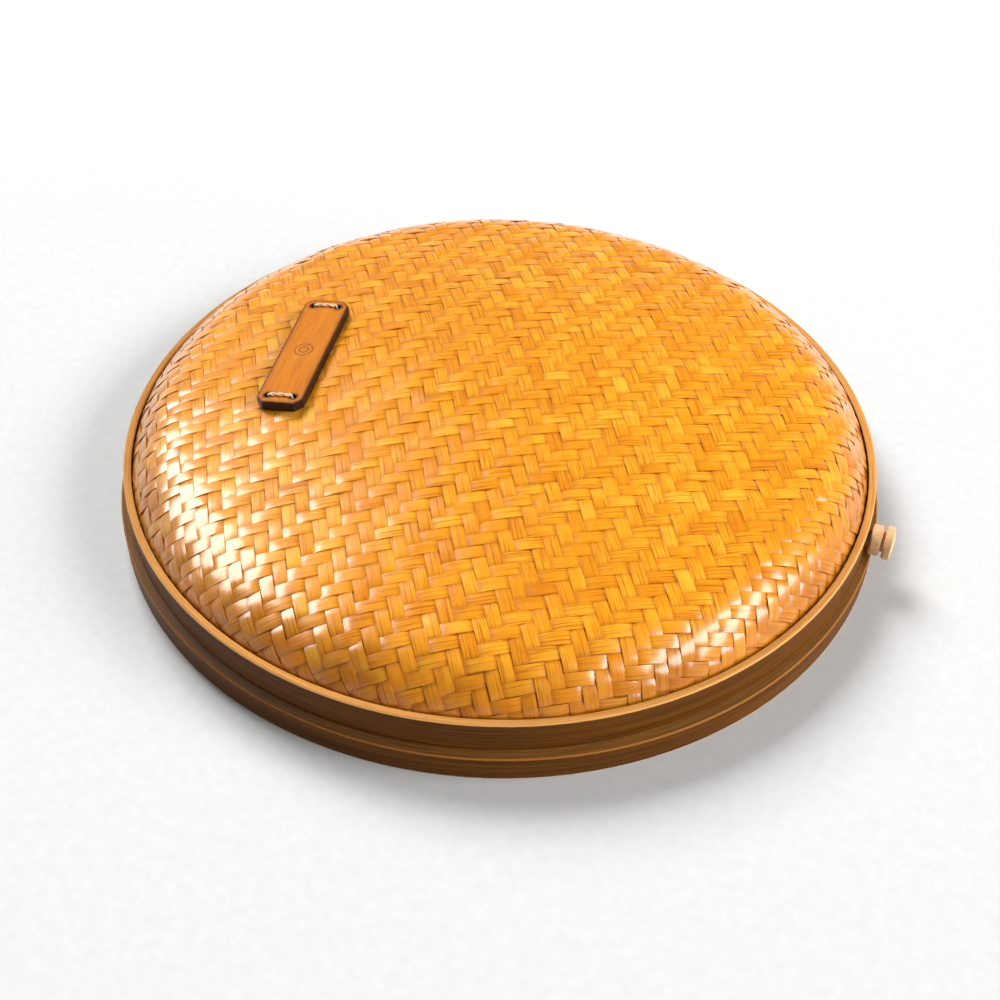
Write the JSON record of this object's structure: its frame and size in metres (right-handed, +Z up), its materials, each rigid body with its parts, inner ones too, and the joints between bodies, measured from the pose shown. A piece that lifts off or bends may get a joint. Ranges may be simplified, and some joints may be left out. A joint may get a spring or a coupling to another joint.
{
  "type": "round woven bamboo tea cake box",
  "caption": "Round flat box of twill-woven bamboo strips, with a pillow-shaped lid in a bent hoop, a tray base with a raised tongue, a stitched plaque and a turned side peg.",
  "frame": {"origin": "centre of the foot plane, under the middle of the hoops", "axes": "+Z up out of the lid, +X towards the peg"},
  "size_m": [0.2401, 0.2349, 0.0408],
  "materials": {
    "outer_hoop": "lacquered bamboo, satin",
    "inner_hoop": "plain split bamboo, matt",
    "woven_strips": "lacquered bamboo strips, glossy",
    "backing_weave": "plain split bamboo, matt",
    "nails": "small brass nails, dulled",
    "plaque": "fine-grained wood with burnt edges, satin",
    "thread": "waxed cream thread",
    "peg": "pale turned wood, matt"
  },
  "bodies": {
    "base": {"base_outer_hoop": "outer_hoop", "base_inner_hoop": "inner_hoop", "base_tongue_hoop": "inner_hoop", "base_woven_floor": "woven_strips", "base_backing_weave": "backing_weave", "base_hoop_nails": "nails"},
    "lid": {"lid_outer_hoop": "outer_hoop", "lid_inner_hoop": "inner_hoop", "lid_woven_dome": "woven_strips", "lid_backing_weave": "backing_weave", "lid_hoop_nails": "nails", "name_plaque": "plaque", "plaque_stitch_front": "thread", "plaque_stitch_rear": "thread"},
    "peg": {"lock_peg": "peg"}
  },
  "joints": [
    {"name": "lid_lift", "type": "slide", "parent": "base", "child": "lid", "axis": [0, 0, 1], "range_m": [0, 0.08]},
    {"name": "peg_pull", "type": "slide", "parent": "lid", "child": "peg", "axis": [1, 0, 0], "range_m": [0, 0.014]}
  ]
}
